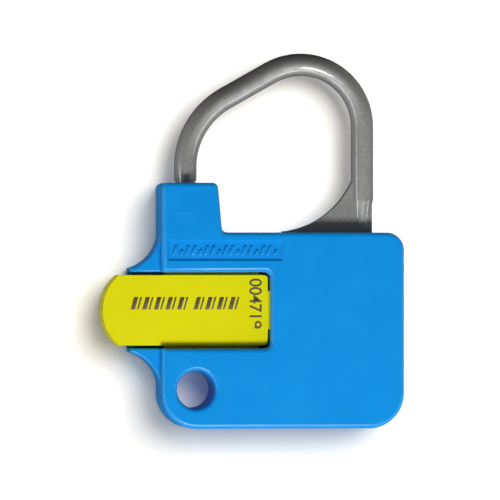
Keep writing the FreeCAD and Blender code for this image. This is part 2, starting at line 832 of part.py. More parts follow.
# ---------------------------------------------------------------- springs and rivet
def catch_leaf(doc, d, p):
    """A flat spring behind the toe: its tooth stands in the toe's notch, its free end hangs down in
    front of the insert's lock bar."""
    body = new_body(doc, "catch_leaf")
    profile = new_sketch(body, "YZ_Plane", "leaf_profile", p.toe_x)
    add_outline(
        profile,
        [
            (d.leaf_front, d.leaf_bottom),
            (p.leaf_back, d.leaf_bottom),
            (p.leaf_back, d.leaf_top),
            (d.leaf_front, d.leaf_top),
            (d.leaf_front, d.tooth_top),
            (d.tooth_reach, d.tooth_bottom + d.tooth_land),
            (d.tooth_reach, d.tooth_bottom),
            (d.leaf_front, d.tooth_bottom),
        ],
    )
    pad(body, profile, "leaf", d.leaf_width, both=True)
    hole = new_sketch(body, "XZ_Plane", "rivet_hole_outline")
    add_circle(hole, p.toe_x, d.rivet_height, d.rivet_radius + d.rivet_gap)
    pocket(body, hole, "rivet_hole", d.housing_depth)
    return body


def catch_rivet(doc, d, p):
    body = new_body(doc, "catch_rivet")
    head = new_sketch(body, "XZ_Plane", "head_outline", -d.leaf_front)
    add_circle(head, p.toe_x, d.rivet_height, d.rivet_head_radius)
    pad(body, head, "head", d.rivet_head)
    shank = new_sketch(body, "XZ_Plane", "shank_outline", -d.leaf_front)
    add_circle(shank, p.toe_x, d.rivet_height, d.rivet_radius)
    pad(body, shank, "shank", d.rivet_length, back=True)
    return body


def insert_retainer(doc, d, p):
    """A bent strip around the tongue's tip; its two arms snap into the tongue's notches."""
    body = new_body(doc, "insert_retainer")
    inner = d.tongue_width / 2 + d.clip_gap
    outer = inner + d.clip_thickness
    base = p.insert_right + d.clip_length
    tooth = p.insert_right + d.tongue_notch_place
    tip = tooth - d.clip_tooth_half * 3
    arm = [
        (base - d.clip_thickness, inner),
        (tooth + d.clip_tooth_half, inner),
        (tooth, inner - d.clip_tooth),
        (tooth - d.clip_tooth_half, inner),
        (tip, inner + d.clip_flare),
        (tip, outer + d.clip_flare),
        (tooth - d.clip_tooth_half, outer),
        (tooth, outer - d.clip_tooth),
        (tooth + d.clip_tooth_half, outer),
        (base, outer),
    ]
    corners = [(x, d.seal_centre + z) for x, z in arm]
    corners += [(x, d.seal_centre - z) for x, z in reversed(arm)]
    outline = new_sketch(body, "XZ_Plane", "clip_outline", d.clip_back)
    add_outline(outline, corners)
    pad(body, outline, "clip", d.clip_width)
    return body


# ---------------------------------------------------------------- build, check and export
def lay_on_back(body, p):
    """Turns a standing body onto its back, centred over the origin."""
    body.Placement = Placement(Vector(), Rotation(Vector(1, 0, 0), -90))
    bind(body, ".Placement.Base.y", -p.overall_height / 2)
    bind(body, ".Placement.Base.z", p.half_depth)


def check(doc, bodies):
    """Stops on any failed object and on any sub-part that isn't one valid solid."""
    failed = [item.Label for item in doc.Objects if {"Invalid", "Error"} & set(item.State)]
    if failed:
        raise RuntimeError(f"failed objects: {failed}")
    for body in bodies:
        shape = body.Shape
        if shape.isNull() or not shape.isValid() or len(shape.Solids) != 1:
            raise RuntimeError(f"{body.Label}: not one valid solid but {len(shape.Solids)}")
        box = shape.BoundBox
        spans = f"x {box.XMin:.2f} {box.XMax:.2f} y {box.YMin:.2f} {box.YMax:.2f}"
        print(f"{body.Label:16} {shape.Volume:9.1f} mm3 {spans} z {box.ZMin:.2f} {box.ZMax:.2f}")


def main():
    doc = FreeCAD.newDocument("padlock")
    d = Sizes(doc)
    p = Places(d)
    makers = [
        front_cover,
        back_cover,
        shackle,
        stop_pin,
        seal_insert,
        catch_leaf,
        catch_rivet,
        insert_retainer,
    ]
    bodies = [make(doc, d, p) for make in makers]
    for body in bodies:
        lay_on_back(body, p)
    doc.recompute()
    check(doc, bodies)
    os.makedirs("parts", exist_ok=True)
    for body in bodies:
        body.Shape.exportStep(f"parts/{body.Label}.step")


main()
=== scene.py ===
"""Looks of a plastic padlock with a steel shackle and a pull-out numbered seal insert.

The closed padlock lies on its back on a pale floor: +Z up out of the front face, +Y the way the shackle
slides out, +X to the right.  Every length is in metres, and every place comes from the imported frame.
"""

import logging
import math
from dataclasses import dataclass, field
from enum import Enum
from typing import Iterable

import bmesh
import bpy
from mathutils import Matrix, Vector


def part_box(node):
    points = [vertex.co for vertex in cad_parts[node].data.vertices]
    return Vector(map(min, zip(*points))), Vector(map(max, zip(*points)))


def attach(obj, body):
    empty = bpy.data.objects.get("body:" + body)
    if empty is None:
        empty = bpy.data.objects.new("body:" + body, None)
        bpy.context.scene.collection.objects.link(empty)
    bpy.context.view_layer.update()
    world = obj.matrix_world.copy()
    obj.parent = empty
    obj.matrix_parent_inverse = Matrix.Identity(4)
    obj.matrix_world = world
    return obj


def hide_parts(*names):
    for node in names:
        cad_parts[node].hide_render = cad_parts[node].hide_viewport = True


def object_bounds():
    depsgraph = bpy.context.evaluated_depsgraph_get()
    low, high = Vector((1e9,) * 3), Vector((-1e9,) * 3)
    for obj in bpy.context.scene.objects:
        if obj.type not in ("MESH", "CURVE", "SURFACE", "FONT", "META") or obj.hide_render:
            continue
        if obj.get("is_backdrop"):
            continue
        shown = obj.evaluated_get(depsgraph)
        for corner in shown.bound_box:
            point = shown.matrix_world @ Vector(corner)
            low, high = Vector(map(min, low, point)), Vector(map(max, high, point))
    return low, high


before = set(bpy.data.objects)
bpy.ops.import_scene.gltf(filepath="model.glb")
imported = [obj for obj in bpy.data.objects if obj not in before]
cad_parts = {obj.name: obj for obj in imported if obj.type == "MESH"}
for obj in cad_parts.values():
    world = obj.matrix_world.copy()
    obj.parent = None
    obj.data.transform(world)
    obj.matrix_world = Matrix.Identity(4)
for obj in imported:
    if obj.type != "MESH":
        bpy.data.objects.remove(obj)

LOG = logging.getLogger("padlock")
MM = 0.001
SHARP_ANGLE = math.radians(32)
MERGE_REACH = 0.002 * MM
SHORTEST_EDGE = 0.001 * MM
MIX_FIRST, MIX_SECOND, MIX_RESULT = 6, 7, 2  # the Mix node's colour sockets
HAIRLINES = ((0.35, 26.0), (1.55, 34.0), (2.6, 22.0))  # each one's turn, and how much finer it is across

Colour = tuple[float, float, float]


class Slot(Enum):
    """The record's material slot names; no piece in this script takes its finish from them."""

    HOUSING = "housing_plastic"
    INSERT = "insert_plastic"
    SHACKLE = "shackle_steel"


class Body(Enum):
    """The bodies that pieces ride on."""

    HOUSING = "housing"
    SHACKLE = "shackle"
    INSERT = "insert"


class Lit(Enum):
    """What a lamp lights; the value is what its light link does with the floor."""

    OBJECT = "EXCLUDE"
    FLOOR = "INCLUDE"


# ---------------------------------------------------------------- node trees
class NodeSheet:
    """Short calls for adding and wiring the nodes of one material, world or group."""

    def __init__(self, tree: bpy.types.NodeTree) -> None:
        """Takes over a tree and clears it."""
        self.tree = tree
        tree.nodes.clear()

    def add(self, kind: str, **settings: object) -> bpy.types.Node:
        """Adds a node.

        Args:
            kind: The node's type name after "ShaderNode" or in full for a group's ends.
            settings: Properties of the node, and under their socket names with spaces as
                underscores, plain values of its inputs.

        Returns:
            The new node.
        """
        full = kind if kind.startswith("NodeGroup") else f"ShaderNode{kind}"
        node = self.tree.nodes.new(full)
        for name, value in settings.items():
            if hasattr(node, name):
                setattr(node, name, value)
            else:
                node.inputs[name.replace("_", " ")].default_value = value
        return node

    def link(self, source: bpy.types.NodeSocket, target: bpy.types.NodeSocket) -> None:
        """Wires one socket to another."""
        self.tree.links.new(source, target)

    def math(self, operation: str, first: object, second: object = 0.0) -> bpy.types.NodeSocket:
        """Adds a Math node.

        Args:
            operation: The node's operation.
            first: A socket or a number.
            second: A socket or a number.

        Returns:
            The result's socket.
        """
        node = self.add("Math", operation=operation)
        for place, item in enumerate((first, second)):
            if isinstance(item, bpy.types.NodeSocket):
                self.link(item, node.inputs[place])
            else:
                node.inputs[place].default_value = item
        return node.outputs[0]

    def ramp(self, source: bpy.types.NodeSocket, low: float, high: float) -> bpy.types.NodeSocket:
        """Spreads the span low..high of a value over 0..1, held at both ends."""
        node = self.add("MapRange", From_Min=low, From_Max=high, clamp=True)
        self.link(source, node.inputs["Value"])
        return node.outputs["Result"]

    def span(self, mask: bpy.types.NodeSocket, low: float, high: float) -> bpy.types.NodeSocket:
        """Turns a mask of 0..1 into a value from low to high."""
        node = self.add("MapRange", To_Min=low, To_Max=high, clamp=True)
        self.link(mask, node.inputs["Value"])
        return node.outputs["Result"]

    def blend(self, mask: bpy.types.NodeSocket, first: object, second: object) -> bpy.types.NodeSocket:
        """Mixes two colours by a mask.

        Args:
            mask: The share of the second colour.
            first: A colour or a socket.
            second: A colour or a socket.

        Returns:
            The mixed colour's socket.
        """
        node = self.add("Mix", data_type="RGBA")
        self.link(mask, node.inputs[0])
        for place, item in ((MIX_FIRST, first), (MIX_SECOND, second)):
            if isinstance(item, bpy.types.NodeSocket):
                self.link(item, node.inputs[place])
            else:
                node.inputs[place].default_value = (*item, 1.0)
        return node.outputs[MIX_RESULT]

    def noise(self, vector: bpy.types.NodeSocket, scale: object, detail: float = 4.0) -> bpy.types.NodeSocket:
        """A noise value over a vector; scale is a number or a socket."""
        node = self.add("TexNoise", Detail=detail, Roughness=0.6)
        self.link(vector, node.inputs["Vector"])
        if isinstance(scale, bpy.types.NodeSocket):
            self.link(scale, node.inputs["Scale"])
        else:
            node.inputs["Scale"].default_value = scale
        return node.outputs[0]


class GroupSheet(NodeSheet):
    """The sheet of a node group, with its two ends."""

    def __init__(self, tree: bpy.types.NodeTree) -> None:
        """Takes over a group's tree and adds its ends."""
        super().__init__(tree)
        self.entry = self.add("NodeGroupInput")
        self.exit = self.add("NodeGroupOutput")


def new_group(name: str, inputs: Iterable[tuple[str, str, float]], outputs: Iterable[str]) -> GroupSheet:
    """Starts a shader node group.

    Args:
        name: The group's name.
        inputs: Each input's name, socket kind ("Vector" or "Float") and default for a float.
        outputs: The names of the float outputs.

    Returns:
        The group's sheet.
    """
    group = bpy.data.node_groups.new(name, "ShaderNodeTree")
    for label, kind, default in inputs:
        socket = group.interface.new_socket(label, in_out="INPUT", socket_type=f"NodeSocket{kind}")
        if kind == "Float":
            socket.default_value = default
    for label in outputs:
        group.interface.new_socket(label, in_out="OUTPUT", socket_type="NodeSocketFloat")
    return GroupSheet(group)


def moulded_grain_group() -> bpy.types.NodeTree:
    """The fine spark-eroded grain of a moulding, with slow sink and flow variation.

    Returns:
        The group: Vector, Scale, Flow in; Height and Flow Mask out.
    """
    sheet = new_group(
        "moulded_grain",
        [("Vector", "Vector", 0.0), ("Scale", "Float", 4000.0), ("Flow", "Float", 90.0)],
        ["Height", "Flow Mask"],
    )
    pit_scale, pit_share = 0.45, 0.35
    vector, scale, flow = (sheet.entry.outputs[i] for i in range(3))
    fine = sheet.noise(vector, scale, detail=3.0)
    pits = sheet.add("TexVoronoi", feature="F1")
    sheet.link(vector, pits.inputs["Vector"])
    sheet.link(sheet.math("MULTIPLY", scale, pit_scale), pits.inputs["Scale"])
    pit_depth = sheet.ramp(pits.outputs["Distance"], 0.0, 0.5)
    height = sheet.math("ADD", fine, sheet.math("MULTIPLY", pit_depth, pit_share))
    sheet.link(height, sheet.exit.inputs[0])
    slow = sheet.noise(vector, flow, detail=2.0)
    sheet.link(sheet.ramp(slow, 0.3, 0.7), sheet.exit.inputs[1])
    return sheet.tree


def handling_wear_group() -> bpy.types.NodeTree:
    """Hairline scuffs in three directions and a scatter of dull rubbed patches.

    Returns:
        The group: Vector, Density in; Scuffs and Rub out.
    """
    sheet = new_group(
        "handling_wear",
        [("Vector", "Vector", 0.0), ("Density", "Float", 0.5)],
        ["Scuffs", "Rub"],
    )
    along, through = 70.0, 900.0
    vector, density = sheet.entry.outputs[0], sheet.entry.outputs[1]
    total = None
    for turn, stretch in HAIRLINES:
        mapping = sheet.add("Mapping")
        mapping.inputs["Rotation"].default_value = (0.2 * turn, 0.1, turn)
        mapping.inputs["Scale"].default_value = (along, along * stretch, through)
        sheet.link(vector, mapping.inputs["Vector"])
        lines = sheet.noise(mapping.outputs[0], 1.0, detail=1.0)
        thin = sheet.ramp(lines, 0.70, 0.76)
        total = thin if total is None else sheet.math("MAXIMUM", total, thin)
    rub = sheet.ramp(sheet.noise(vector, 160.0, detail=5.0), 0.52, 0.72)
    sheet.link(sheet.math("MULTIPLY", total, sheet.math("MULTIPLY", rub, density)), sheet.exit.inputs[0])
    sheet.link(sheet.math("MULTIPLY", rub, density), sheet.exit.inputs[1])
    return sheet.tree


def settled_dust_group() -> bpy.types.NodeTree:
    """Sparse specks of dust.

    Returns:
        The group: Vector, Scale in; Specks out.
    """
    sheet = new_group("settled_dust", [("Vector", "Vector", 0.0), ("Scale", "Float", 900.0)], ["Specks"])
    vector, scale = sheet.entry.outputs[0], sheet.entry.outputs[1]
    cells = sheet.add("TexVoronoi", feature="F1")
    sheet.link(vector, cells.inputs["Vector"])
    sheet.link(scale, cells.inputs["Scale"])
    dots = sheet.math("SUBTRACT", 1.0, sheet.ramp(cells.outputs["Distance"], 0.05, 0.11))
    where = sheet.ramp(sheet.noise(vector, 220.0, detail=2.0), 0.58, 0.62)
    sheet.link(sheet.math("MULTIPLY", dots, where), sheet.exit.inputs[0])
    return sheet.tree


class Effects:
    """The shared effects, each built once."""

    def __init__(self) -> None:
        """Builds the groups."""
        self.grain = moulded_grain_group()
        self.wear = handling_wear_group()
        self.dust = settled_dust_group()


def place_group(
    sheet: NodeSheet, group: bpy.types.NodeTree, vector: bpy.types.NodeSocket, **values: float
) -> bpy.types.Node:
    """Puts a shared effect into a material.

    Args:
        sheet: The material's sheet.
        group: The effect.
        vector: The coordinates that it reads.
        values: Its own values, by input name.

    Returns:
        The group node.
    """
    node = sheet.add("Group", node_tree=group)
    sheet.link(vector, node.inputs["Vector"])
    for name, value in values.items():
        node.inputs[name].default_value = value
    return node


# ---------------------------------------------------------------- finishes
@dataclass(frozen=True)
class PlasticFinish:
    """A moulded plastic: a body colour, a paler rubbed tone, and a fine grain."""

    name: str
    colour: Colour
    deep: Colour
    rubbed: Colour
    gloss: float
    shine: float
    grain_scale: float
    grain_depth: float
    wear: float
    flow_scale: float = 85.0
    dust_scale: float = 1100.0
    dust_colour: Colour = (0.75, 0.74, 0.7)
    dust_share: float = 0.10
    rub_share: float = 0.20
    scuff_share: float = 0.6
    scuff_roughness: float = 0.2
    refraction: float = 1.49

    def make(self, effects: Effects) -> bpy.types.Material:
        """Builds the material.

        Args:
            effects: The shared effects.

        Returns:
            The plastic's material.
        """
        material, sheet, shader, coordinates = new_material(self.name)
        grain = place_group(sheet, effects.grain, coordinates, Scale=self.grain_scale, Flow=self.flow_scale)
        wear = place_group(sheet, effects.wear, coordinates, Density=self.wear)
        dust = place_group(sheet, effects.dust, coordinates, Scale=self.dust_scale)
        body = sheet.blend(grain.outputs["Flow Mask"], self.deep, self.colour)
        body = sheet.blend(sheet.math("MULTIPLY", wear.outputs["Rub"], self.rub_share), body, self.rubbed)
        scuffs = wear.outputs["Scuffs"]
        body = sheet.blend(sheet.math("MULTIPLY", scuffs, self.scuff_share), body, self.rubbed)
        specks = sheet.math("MULTIPLY", dust.outputs["Specks"], self.dust_share)
        body = sheet.blend(specks, body, self.dust_colour)
        sheet.link(body, shader.inputs["Base Color"])
        even = sheet.span(grain.outputs["Height"], self.gloss - 0.03, self.gloss + 0.05)
        dulled = sheet.math("MULTIPLY", scuffs, self.scuff_roughness)
        sheet.link(sheet.math("ADD", even, dulled), shader.inputs["Roughness"])
        add_bump(sheet, shader, grain.outputs["Height"], self.grain_depth)
        shader.inputs["IOR"].default_value = self.refraction
        shader.inputs["Specular IOR Level"].default_value = self.shine
        return material


@dataclass(frozen=True)
class SteelFinish:
    """Lacquered steel: a grey that varies finely, with a dull grain and darker oxide clouds."""

    name: str
    colour: Colour
    dark: Colour
    roughness: float
    grain_scale: float
    grain_depth: float
    lacquer: float
    lacquer_roughness: float = 0.14
    stretch: tuple[float, float, float] = (1.0, 0.75, 1.0)
    cloud_scale: float = 260.0
    wear: float = 0.8
    scuff_share: float = 0.7
    scuff_gain: float = 1.35

    def make(self, effects: Effects) -> bpy.types.Material:
        """Builds the material.

        Args:
            effects: The shared effects.

        Returns:
            The steel's material.
        """
        material, sheet, shader, coordinates = new_material(self.name)
        mapping = sheet.add("Mapping")
        mapping.inputs["Scale"].default_value = self.stretch
        sheet.link(coordinates, mapping.inputs["Vector"])
        streaks = sheet.noise(mapping.outputs[0], self.grain_scale, detail=4.0)
        clouds = sheet.ramp(sheet.noise(coordinates, self.cloud_scale, detail=6.0), 0.35, 0.7)
        wear = place_group(sheet, effects.wear, coordinates, Density=self.wear)
        tone = sheet.math("MULTIPLY", sheet.ramp(streaks, 0.3, 0.7), sheet.span(clouds, 0.55, 1.0))
        body = sheet.blend(tone, self.dark, self.colour)
        bright = tuple(min(1.0, self.scuff_gain * part) for part in self.colour)
        scuffs = sheet.math("MULTIPLY", wear.outputs["Scuffs"], self.scuff_share)
        body = sheet.blend(scuffs, body, bright)
        sheet.link(body, shader.inputs["Base Color"])
        rough = sheet.span(clouds, self.roughness + 0.06, self.roughness - 0.04)
        sheet.link(rough, shader.inputs["Roughness"])
        add_bump(sheet, shader, streaks, self.grain_depth)
        shader.inputs["Metallic"].default_value = 1.0
        shader.inputs["Coat Weight"].default_value = self.lacquer
        shader.inputs["Coat Roughness"].default_value = self.lacquer_roughness
        return material


@dataclass(frozen=True)
class InkFinish:
    """Hot-stamped ink: thin, dark and slightly broken up."""

    name: str
    colour: Colour
    thin: Colour
    grain_scale: float = 5200.0
    flow_scale: float = 1400.0
    grain_depth: float = 0.004 * MM

    def make(self, effects: Effects) -> bpy.types.Material:
        """Builds the material.

        Args:
            effects: The shared effects.

        Returns:
            The ink's material.
        """
        material, sheet, shader, coordinates = new_material(self.name)
        grain = place_group(sheet, effects.grain, coordinates, Scale=self.grain_scale, Flow=self.flow_scale)
        body = sheet.blend(grain.outputs["Flow Mask"], self.thin, self.colour)
        sheet.link(body, shader.inputs["Base Color"])
        sheet.link(sheet.span(grain.outputs["Height"], 0.38, 0.55), shader.inputs["Roughness"])
        add_bump(sheet, shader, grain.outputs["Height"], self.grain_depth)
        return material


def new_material(name: str) -> tuple[bpy.types.Material, NodeSheet, bpy.types.Node, bpy.types.NodeSocket]:
    """Starts a material with its shader and object coordinates.

    Args:
        name: The material's name.

    Returns:
        The material, its sheet, its Principled shader and the coordinates' socket.
    """
    material = bpy.data.materials.new(name)
    material.use_nodes = True
    sheet = NodeSheet(material.node_tree)
    shader = sheet.add("BsdfPrincipled")
    output = sheet.add("OutputMaterial")
    sheet.link(shader.outputs[0], output.inputs["Surface"])
    coordinates = sheet.add("TexCoord")
    return material, sheet, shader, coordinates.outputs["Object"]


def add_bump(sheet: NodeSheet, shader: bpy.types.Node, height: bpy.types.NodeSocket, depth: float) -> None:
    """Feeds a height into the shader's normal.

    Args:
        sheet: The material's sheet.
        shader: The shader.
        height: The height's socket, over 0..1.
        depth: How deep a height of one stands, in metres.
    """
    bump = sheet.add("Bump", Strength=1.0, Distance=depth)
    sheet.link(height, bump.inputs["Height"])
    sheet.link(bump.outputs[0], shader.inputs["Normal"])


BLUE_PLASTIC = PlasticFinish(
    name="sky_blue_moulding",
    colour=(0.003, 0.300, 0.790),
    deep=(0.002, 0.272, 0.750),
    rubbed=(0.03, 0.37, 0.84),
    gloss=0.22,
    shine=0.25,
    grain_scale=5200.0,
    grain_depth=0.006 * MM,
    wear=0.45,
)
YELLOW_PLASTIC = PlasticFinish(
    name="bright_yellow_moulding",
    colour=(0.780, 0.735, 0.001),
    deep=(0.740, 0.700, 0.001),
    rubbed=(0.82, 0.78, 0.05),
    gloss=0.24,
    shine=0.25,
    grain_scale=5600.0,
    grain_depth=0.005 * MM,
    wear=0.35,
)
BAR_STEEL = SteelFinish(
    name="drawn_bar_steel",
    colour=(0.32, 0.32, 0.308),
    dark=(0.22, 0.22, 0.214),
    roughness=0.62,
    grain_scale=2600.0,
    grain_depth=0.010 * MM,
    lacquer=1.0,
)
SPRING_STEEL = SteelFinish(
    name="blued_spring_steel",
    colour=(0.30, 0.31, 0.34),
    dark=(0.16, 0.17, 0.20),
    roughness=0.28,
    grain_scale=3400.0,
    grain_depth=0.004 * MM,
    lacquer=0.0,
)
STAMP_INK = InkFinish(name="stamped_ink", colour=(0.050, 0.030, 0.008), thin=(0.120, 0.085, 0.012))


@dataclass
class Finishes:
    """Every material of the object, built once."""

    effects: Effects = field(default_factory=Effects)

    def __post_init__(self) -> None:
        """Builds the materials."""
        self.blue = BLUE_PLASTIC.make(self.effects)
        self.yellow = YELLOW_PLASTIC.make(self.effects)
        self.steel = BAR_STEEL.make(self.effects)
        self.spring = SPRING_STEEL.make(self.effects)
        self.ink = STAMP_INK.make(self.effects)


# ---------------------------------------------------------------- mesh helpers
def finish_mesh(name: str, shape: bmesh.types.BMesh, material: bpy.types.Material) -> bpy.types.Object:
    """Turns a bmesh into an object at the origin, shaded smooth between its sharp edges.

    Args:
        name: The piece's name.
        shape: The bmesh, which is freed.
        material: The piece's material.

    Returns:
        The object.
    """
    for face in shape.faces:
        face.smooth = True
    for edge in shape.edges:
        edge.smooth = edge.is_manifold and edge.calc_face_angle() < SHARP_ANGLE
    mesh = bpy.data.meshes.new(name)
    shape.to_mesh(mesh)
    shape.free()
    mesh.materials.append(material)
    piece = bpy.data.objects.new(name, mesh)
    bpy.context.scene.collection.objects.link(piece)
    return piece


def settle_normals(piece: bpy.types.Object) -> None:
    """Keeps flat faces flat beside their rounded edges."""
    modifier = piece.modifiers.new("flat_faces", "WEIGHTED_NORMAL")
    modifier.mode = "FACE_AREA"
    modifier.weight = 90
    modifier.keep_sharp = True


def cast_from(node: str, name: str, material: bpy.types.Material) -> bpy.types.Object:
    """A merged, smoothly shaded casting of one node of the frame, which stands for that node.

    Args:
        node: The node's name.
        name: The new piece's name.
        material: Its material.

    Returns:
        The piece.
    """
    shape = bmesh.new()
    shape.from_mesh(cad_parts[node].data)
    bmesh.ops.remove_doubles(shape, verts=shape.verts, dist=MERGE_REACH)
    bmesh.ops.dissolve_degenerate(shape, edges=shape.edges, dist=SHORTEST_EDGE)
    piece = finish_mesh(name, shape, material)
    settle_normals(piece)
    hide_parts(node)
    return piece


def hand_over(piece: bpy.types.Object, body: Body) -> None:
    """Makes a piece ride on its body, and reports it.

    Args:
        piece: The finished piece.
        body: The body that it moves with.
    """
    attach(piece, body.value)
    LOG.info("%s: %d faces on %s", piece.name, len(piece.data.polygons), body.value)


def dress_node(node: str, material: bpy.types.Material) -> None:
    """Gives a node of the frame that stays a better material."""
    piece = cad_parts[node]
    piece.data.materials.clear()
    piece.data.materials.append(material)
    LOG.info("%s: kept from the frame", node)


def bar_block(shape: bmesh.types.BMesh, centre: Vector, size: Vector, slant: float, bevel: float) -> None:
    """Adds one slanted bar with rounded edges.

    Args:
        shape: The bmesh to add to.
        centre: The bar's middle.
        size: Its width, height and thickness along x, y and z.
        slant: How far it leans along x for each unit of y.
        bevel: The rounding of its edges.
    """
    made = bmesh.ops.create_cube(shape, size=1.0)["verts"]
    bmesh.ops.scale(shape, vec=size, verts=made)
    lean = Matrix.Identity(4)
    lean[0][1] = slant
    bmesh.ops.transform(shape, matrix=Matrix.Translation(centre) @ lean, verts=made)
    edges = list({edge for vert in made for edge in vert.link_edges})
    bmesh.ops.bevel(
        shape, geom=edges, offset=bevel, segments=2, profile=0.5, affect="EDGES", material=-1
    )


# ---------------------------------------------------------------- sub-assemblies
@dataclass
class Housing:
    """The two blue mouldings and the raised pattern in the shallow panel."""

    finishes: Finishes
    tick_count: int = 17
    tick_width: float = 0.55 * MM
    tick_height: float = 1.75 * MM
    tick_rise: float = 0.45 * MM
    tick_bevel: float = 0.12 * MM
    tick_slant: float = 0.3
    short_tick: float = 0.55
    panel_left: float = 1.4 * MM
    panel_width: float = 22.5 * MM
    panel_centre: float = 35.5 * MM
    panel_depth: float = 0.5 * MM
    panel_margin: float = 1.2 * MM
    pin_from_wall: float = 32.55 * MM

    def build(self) -> None:
        """Casts both covers and adds the pattern."""
        front = cast_from("front_cover", "front_moulding", self.finishes.blue)
        hand_over(front, Body.HOUSING)
        back = cast_from("back_cover", "back_moulding", self.finishes.blue)
        hand_over(back, Body.HOUSING)
        hand_over(self.panel_pattern(), Body.HOUSING)

    def panel_pattern(self) -> bpy.types.Object:
        """A row of raised slanted ticks, every third one short, in the panel.

        Returns:
            The pattern.
        """
        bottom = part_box("back_cover")[0].y
        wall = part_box("stop_pin")[0].x - self.pin_from_wall
        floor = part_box("front_cover")[1].z - self.panel_depth
        pitch = (self.panel_width - 2 * self.panel_margin) / (self.tick_count - 1)
        shape = bmesh.new()
        for index in range(self.tick_count):
            short = index % 3 == 1
            height = self.tick_height * (self.short_tick if short else 1.0)
            x = wall + self.panel_left + self.panel_margin + pitch * index
            y = bottom + self.panel_centre - (self.tick_height - height) / 2
            centre = Vector((x, y, floor + self.tick_rise / 2))
            size = Vector((self.tick_width, height, self.tick_rise))
            bar_block(shape, centre, size, self.tick_slant, self.tick_bevel)
        return finish_mesh("panel_ticks", shape, self.finishes.blue)


@dataclass
class Shackle:
    """The steel bar with its pressed heel."""

    finishes: Finishes

    def build(self) -> None:
        """Casts the bar."""
        bar = cast_from("shackle", "shackle_bar", self.finishes.steel)
        hand_over(bar, Body.SHACKLE)


@dataclass
class SealInsert:
    """The yellow insert with its stamped bars and serial digits."""

    finishes: Finishes
    serial: str = "004719"
    ink_rise: float = 0.03 * MM
    digit_height: float = 2.45 * MM
    digit_boldness: float = 0.035 * MM
    bar_height: float = 2.5 * MM
    bar_slant: float = 0.28
    bar_pitch: float = 2.32 * MM
    bar_rise: float = 1.4 * MM
    bar_groups: tuple[tuple[float, int], ...] = ((5.9 * MM, 5), (18.5 * MM, 4))
    digits_from_end: float = 10.6 * MM
    digits_rise: float = 1.3 * MM
    digit_spacing: float = 0.96
    thick_bar: float = 0.85 * MM
    thin_bar: float = 0.35 * MM
    thin_offset: float = 1.25 * MM
    ink_sink: float = 0.01 * MM
    ink_bevel: float = 0.008 * MM
    digit_share: float = 0.7

    def build(self) -> None:
        """Casts the insert and prints on it."""
        body = cast_from("seal_insert", "insert_moulding", self.finishes.yellow)
        hand_over(body, Body.INSERT)
        hand_over(self.stamped_bars(), Body.INSERT)
        hand_over(self.serial_digits(), Body.INSERT)

    def face(self) -> tuple[Vector, Vector]:
        """The insert's box at rest."""
        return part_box("seal_insert")

    def stamped_bars(self) -> bpy.types.Object:
        """Two groups of slanted bars along the middle of the face.

        Returns:
            The printed bars.
        """
        low, high = self.face()
        middle = (low.y + high.y) / 2 + self.bar_rise
        level = high.z + self.ink_rise / 2 - self.ink_sink
        strokes = ((self.thick_bar, 0.0), (self.thin_bar, self.thin_offset))
        shape = bmesh.new()
        for start, pairs in self.bar_groups:
            for index in range(pairs):
                x = low.x + start + index * self.bar_pitch
                for width, offset in strokes:
                    centre = Vector((x + offset + width / 2, middle, level))
                    size = Vector((width, self.bar_height, self.ink_rise))
                    bar_block(shape, centre, size, self.bar_slant, self.ink_bevel)
        return finish_mesh("stamped_bars", shape, self.finishes.ink)

    def serial_digits(self) -> bpy.types.Object:
        """The serial number, turned a quarter so that it reads down the right end.

        Returns:
            The printed digits.
        """
        low, high = self.face()
        curve = bpy.data.curves.new("serial", "FONT")
        curve.body = self.serial
        curve.size = self.digit_height / self.digit_share
        curve.extrude = self.ink_rise / 2
        curve.offset = self.digit_boldness
        curve.align_x = "CENTER"
        curve.align_y = "CENTER"
        curve.space_character = self.digit_spacing
        holder = bpy.data.objects.new("serial_curve", curve)
        bpy.context.scene.collection.objects.link(holder)
        bpy.context.view_layer.update()
        graph = bpy.context.evaluated_depsgraph_get()
        mesh = bpy.data.meshes.new_from_object(holder.evaluated_get(graph))
        bpy.data.objects.remove(holder)
        shape = bmesh.new()
        shape.from_mesh(mesh)
        middle = (low.y + high.y) / 2 + self.digits_rise
        place = Vector((high.x - self.digits_from_end, middle, high.z))
        bmesh.ops.transform(
            shape,
            matrix=Matrix.Translation(place) @ Matrix.Rotation(-math.pi / 2, 4, "Z"),
            verts=shape.verts,
        )
        return finish_mesh("serial_digits", shape, self.finishes.ink)


@dataclass
class InnerWorks:
    """The pin and the spring pieces, which keep the frame's own shapes."""

    finishes: Finishes
    spring_nodes: tuple[str, ...] = ("catch_leaf", "catch_rivet", "insert_retainer")

    def build(self) -> None:
        """Dresses each piece."""
        dress_node("stop_pin", self.finishes.steel)
        for node in self.spring_nodes:
            dress_node(node, self.finishes.spring)


